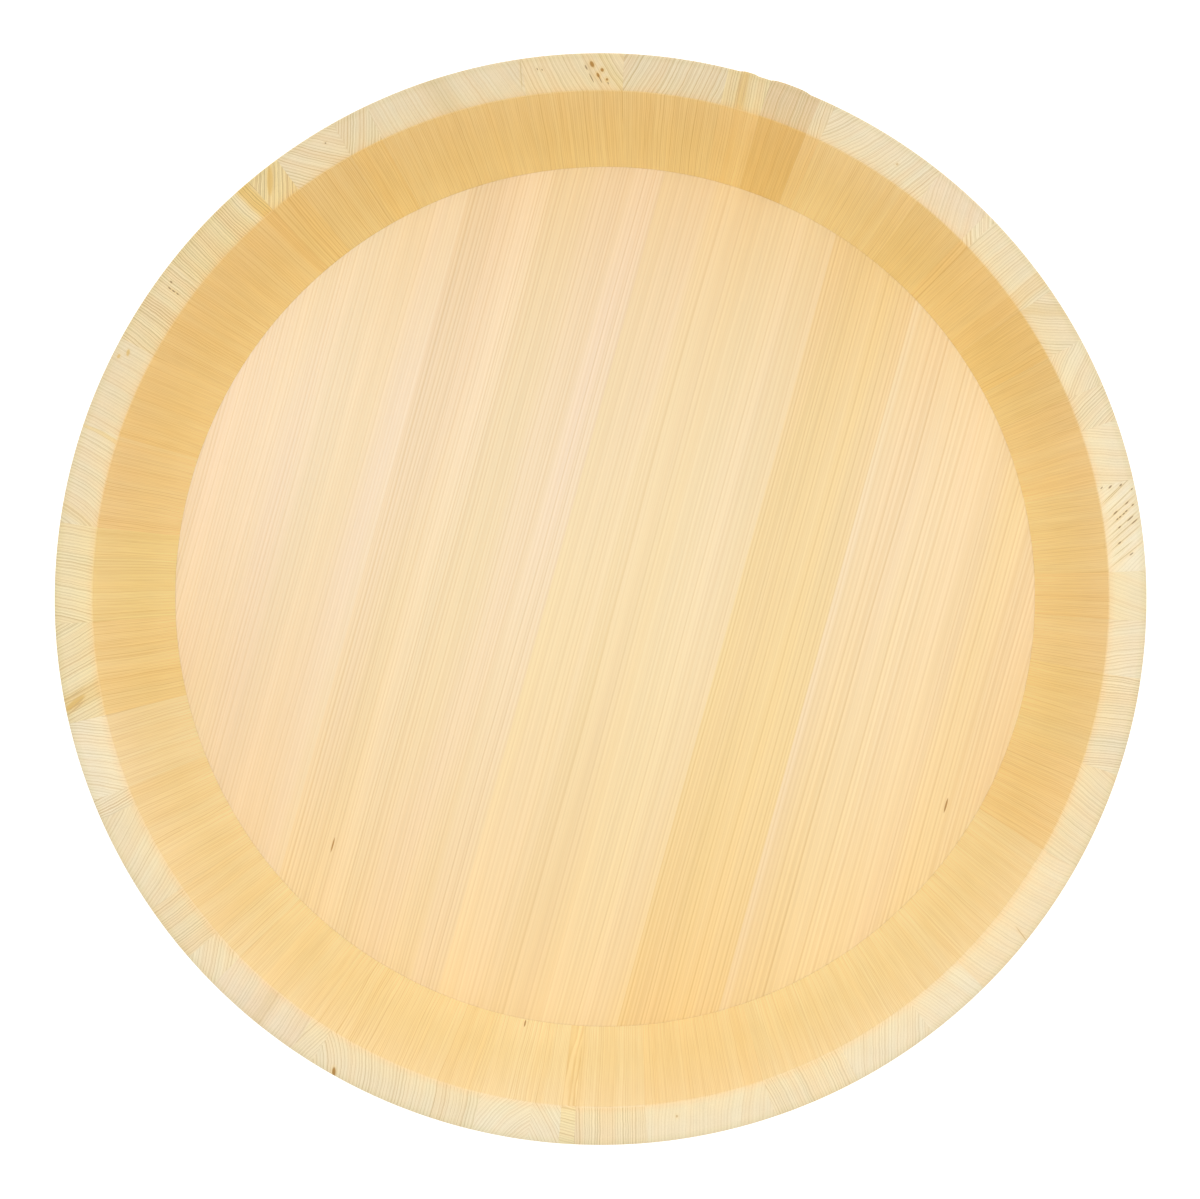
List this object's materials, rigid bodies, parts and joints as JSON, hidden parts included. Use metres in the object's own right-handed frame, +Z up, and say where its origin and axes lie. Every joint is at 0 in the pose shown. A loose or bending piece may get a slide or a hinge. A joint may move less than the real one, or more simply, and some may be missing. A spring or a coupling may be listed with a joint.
{
  "type": "sushi rice tub",
  "caption": "Shallow round coopered wooden tub with a slightly flared stave wall, a planked base set in a groove and flat copper hoops, for cooling and seasoning sushi rice.",
  "frame": {"origin": "centre of the foot ring, on the surface that the tub stands on", "axes": "+Z up out of the tub's mouth, -Y the side nearest the viewer, +X to the viewer's right"},
  "size_m": [0.3598, 0.3601, 0.096],
  "materials": {
    "stave_wood": "planed bare softwood, end grain on the rim",
    "base_wood": "planed bare softwood, straight grain",
    "bamboo": "bare bamboo",
    "copper": "satin copper, lightly toned"
  },
  "bodies": {
    "root": {"stave_01": "stave_wood", "stave_02": "stave_wood", "stave_03": "stave_wood", "stave_04": "stave_wood", "stave_05": "stave_wood", "stave_06": "stave_wood", "stave_07": "stave_wood", "stave_08": "stave_wood", "stave_09": "stave_wood", "stave_10": "stave_wood", "stave_11": "stave_wood", "stave_12": "stave_wood", "stave_13": "stave_wood", "stave_14": "stave_wood", "stave_15": "stave_wood", "stave_16": "stave_wood", "stave_17": "stave_wood", "stave_18": "stave_wood", "stave_19": "stave_wood", "stave_20": "stave_wood", "stave_21": "stave_wood", "stave_22": "stave_wood", "stave_23": "stave_wood", "stave_24": "stave_wood", "stave_25": "stave_wood", "stave_26": "stave_wood", "stave_27": "stave_wood", "stave_28": "stave_wood", "stave_29": "stave_wood", "stave_30": "stave_wood", "stave_31": "stave_wood", "stave_32": "stave_wood", "stave_33": "stave_wood", "stave_34": "stave_wood", "stave_35": "stave_wood", "stave_36": "stave_wood", "stave_37": "stave_wood", "stave_38": "stave_wood", "stave_39": "stave_wood", "stave_40": "stave_wood", "stave_41": "stave_wood", "stave_42": "stave_wood", "stave_43": "stave_wood", "stave_44": "stave_wood", "stave_45": "stave_wood", "base_plank_1": "base_wood", "base_plank_2": "base_wood", "base_plank_3": "base_wood", "base_plank_4": "base_wood", "base_plank_5": "base_wood", "base_peg_1": "bamboo", "base_peg_2": "bamboo", "base_peg_3": "bamboo", "base_peg_4": "bamboo", "upper_hoop": "copper", "lower_hoop": "copper", "upper_hoop_rivet_1": "copper", "upper_hoop_rivet_2": "copper", "lower_hoop_rivet_1": "copper", "lower_hoop_rivet_2": "copper"}
  },
  "joints": []
}
